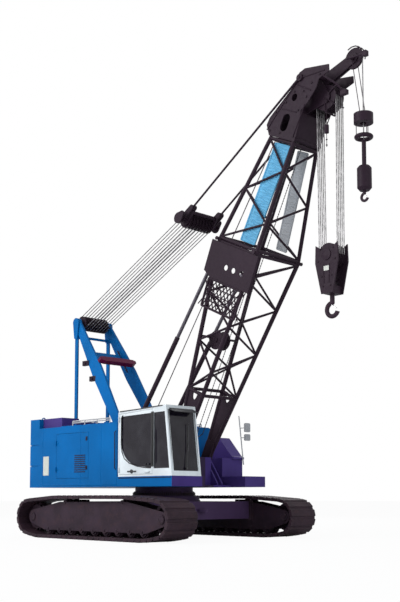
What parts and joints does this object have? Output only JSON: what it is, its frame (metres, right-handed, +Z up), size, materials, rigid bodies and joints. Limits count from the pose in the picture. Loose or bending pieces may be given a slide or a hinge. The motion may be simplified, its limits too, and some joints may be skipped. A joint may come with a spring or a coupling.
{
  "type": "lattice boom crawler crane",
  "caption": "Tracked crane with a rotating upper, side cab, rear counterweight, leaning gantry, lattice boom that luffs, hook block and auxiliary hook on hoist ropes.",
  "frame": {"origin": "on the ground on the slewing axis, midway between the crawlers", "axes": "+X forward over the drive-free end of the crawlers and the boom, +Y to the machine's left, +Z up along the slewing axis"},
  "size_m": [10.0603, 4.76, 10.2674],
  "materials": {
    "black_steel": "semi-gloss black paint, slightly warm",
    "track_steel": "dark bare cast steel",
    "blue_paint": "gloss blue machine paint",
    "white_paint": "gloss near-white cab paint",
    "dark_grey_paint": "satin dark grey paint",
    "maroon_paint": "satin maroon paint",
    "glass": "dark tinted safety glass",
    "rope": "greased steel wire rope",
    "bright_steel": "bright steel rod",
    "seat_cloth": "dark seat cloth",
    "plastic": "dark plastic trim",
    "machine_grey": null
  },
  "bodies": {
    "undercarriage": {"carbody": "black_steel", "track_right": "track_steel", "track_left": "track_steel", "track_frame_right": "track_steel", "track_frame_left": "track_steel", "idlers": "track_steel", "drive_tumblers": "track_steel", "track_rollers": "track_steel", "carrier_rollers": "track_steel", "travel_drives": "track_steel", "slewing_ring_fixed": "black_steel"},
    "upper": {"slewing_ring_moving": "black_steel", "rotating_frame": "blue_paint", "house_right": "blue_paint", "house_left": "blue_paint", "engine": "machine_grey", "rear_hood": "dark_grey_paint", "counterweight": "blue_paint", "winch_drums": "dark_grey_paint", "cab_shell": "white_paint", "cab_glass": "glass", "sun_visor": "plastic", "seat": "seat_cloth", "console": "plastic", "front_deck": "blue_paint", "mirror_mast": "plastic", "gantry_legs": "blue_paint", "gantry_beam": "maroon_paint", "gantry_links": "blue_paint"},
    "cab_door": {"cab_door": "white_paint", "cab_door_glass": "glass"},
    "right_house_door": {"house_door_right": "blue_paint"},
    "left_house_door": {"house_door_left": "blue_paint"},
    "boom": {"boom_base": "black_steel", "boom_tip": "black_steel", "boom_head": "black_steel"},
    "luffing_tackle": {"gantry_sheaves": "black_steel", "luffing_ropes": "rope"},
    "bridle": {"bridle_frame": "black_steel", "bridle_sheaves": "black_steel"},
    "pendants": {"pendants": "black_steel"},
    "backstop_tubes": {"backstop_tubes": "black_steel"},
    "backstop_rods": {"backstop_rods": "bright_steel"},
    "main_fall": {"head_sheaves": "black_steel", "main_fall_ropes": "rope"},
    "hook_block": {"hook_block": "black_steel", "block_sheaves": "black_steel"},
    "main_hook": {"main_hook": "black_steel"},
    "aux_fall": {"tip_sheave": "black_steel", "aux_fall_ropes": "rope"},
    "aux_weight": {"aux_weight": "black_steel"},
    "aux_hook": {"aux_hook": "black_steel"}
  },
  "joints": [
    {"name": "slew", "type": "hinge", "parent": "undercarriage", "child": "upper", "pos_m": [0, 0, 1.085], "axis": [0, 0, 1], "continuous": true},
    {"name": "boom_luff", "type": "hinge", "parent": "upper", "child": "boom", "pos_m": [0.93, 0, 1.77], "axis": [0, -1, 0], "range_deg": [-34.5, 15.5]},
    {"name": "luffing_tackle_swing", "type": "hinge", "parent": "upper", "child": "luffing_tackle", "pos_m": [-2.88, 0, 5.56], "axis": [0, -1, 0], "range_deg": [-19.53, 9.08]},
    {"name": "bridle_travel", "type": "slide", "parent": "luffing_tackle", "child": "bridle", "axis": [0.8988, 0, 0.4383], "range_m": [-1.3973, 3.0051], "deforming": ["luffing_ropes"]},
    {"name": "pendant_swing", "type": "hinge", "parent": "boom", "child": "pendants", "pos_m": [4.77405, 0, 9.85244], "axis": [0, -1, 0], "range_deg": [-3.52, 1.64]},
    {"name": "backstop_swing", "type": "hinge", "parent": "upper", "child": "backstop_tubes", "pos_m": [-0.95, 0, 1.95], "axis": [0, -1, 0], "range_deg": [-27.95, 12.99]},
    {"name": "backstop_travel", "type": "slide", "parent": "backstop_tubes", "child": "backstop_rods", "axis": [0.5915, 0, 0.8063], "range_m": [-0.4236, 0.9102]},
    {"name": "main_fall_swing", "type": "hinge", "parent": "boom", "child": "main_fall", "pos_m": [5.217, 0, 9.36419], "axis": [0, -1, 0], "range_deg": [-16.5, 35.5]},
    {"name": "main_hoist", "type": "slide", "parent": "main_fall", "child": "hook_block", "axis": [0, 0, -1], "range_m": [-2, 4.1], "deforming": ["main_fall_ropes"]},
    {"name": "main_hook_swivel", "type": "hinge", "parent": "hook_block", "child": "main_hook", "pos_m": [5.217, 0, 4.9], "axis": [0, 0, 1], "continuous": true},
    {"name": "aux_fall_swing", "type": "hinge", "parent": "boom", "child": "aux_fall", "pos_m": [5.87523, 0, 10.04736], "axis": [0, -1, 0], "range_deg": [-16.5, 35.5]},
    {"name": "aux_hoist", "type": "slide", "parent": "aux_fall", "child": "aux_weight", "axis": [0, 0, -1], "range_m": [-0.5, 6.4], "deforming": ["aux_fall_ropes"]},
    {"name": "aux_hook_swivel", "type": "hinge", "parent": "aux_weight", "child": "aux_hook", "pos_m": [6.08053, 0, 7], "axis": [0, 0, 1], "continuous": true},
    {"name": "cab_door_swing", "type": "hinge", "parent": "upper", "child": "cab_door", "pos_m": [0.172, -1.567, 2.2], "axis": [0, 0, -1], "range_deg": [0, 95]},
    {"name": "right_house_door_swing", "type": "hinge", "parent": "upper", "child": "right_house_door", "pos_m": [-2.303, -1.567, 2], "axis": [0, 0, -1], "range_deg": [0, 110]},
    {"name": "left_house_door_swing", "type": "hinge", "parent": "upper", "child": "left_house_door", "pos_m": [-2.303, 1.567, 2], "axis": [0, 0, 1], "range_deg": [0, 110]}
  ],
  "couplings": [
    {"joint": "luffing_tackle_swing", "follows": "boom_luff", "ratio": 0.55},
    {"joint": "bridle_travel", "follows": "boom_luff", "m_per_rad": -4.8485},
    {"joint": "pendant_swing", "follows": "boom_luff", "ratio": 0.0991},
    {"joint": "backstop_swing", "follows": "boom_luff", "ratio": 0.7874},
    {"joint": "backstop_travel", "follows": "boom_luff", "m_per_rad": -1.4673},
    {"joint": "main_fall_swing", "follows": "boom_luff", "ratio": -1},
    {"joint": "aux_fall_swing", "follows": "boom_luff", "ratio": -1}
  ]
}
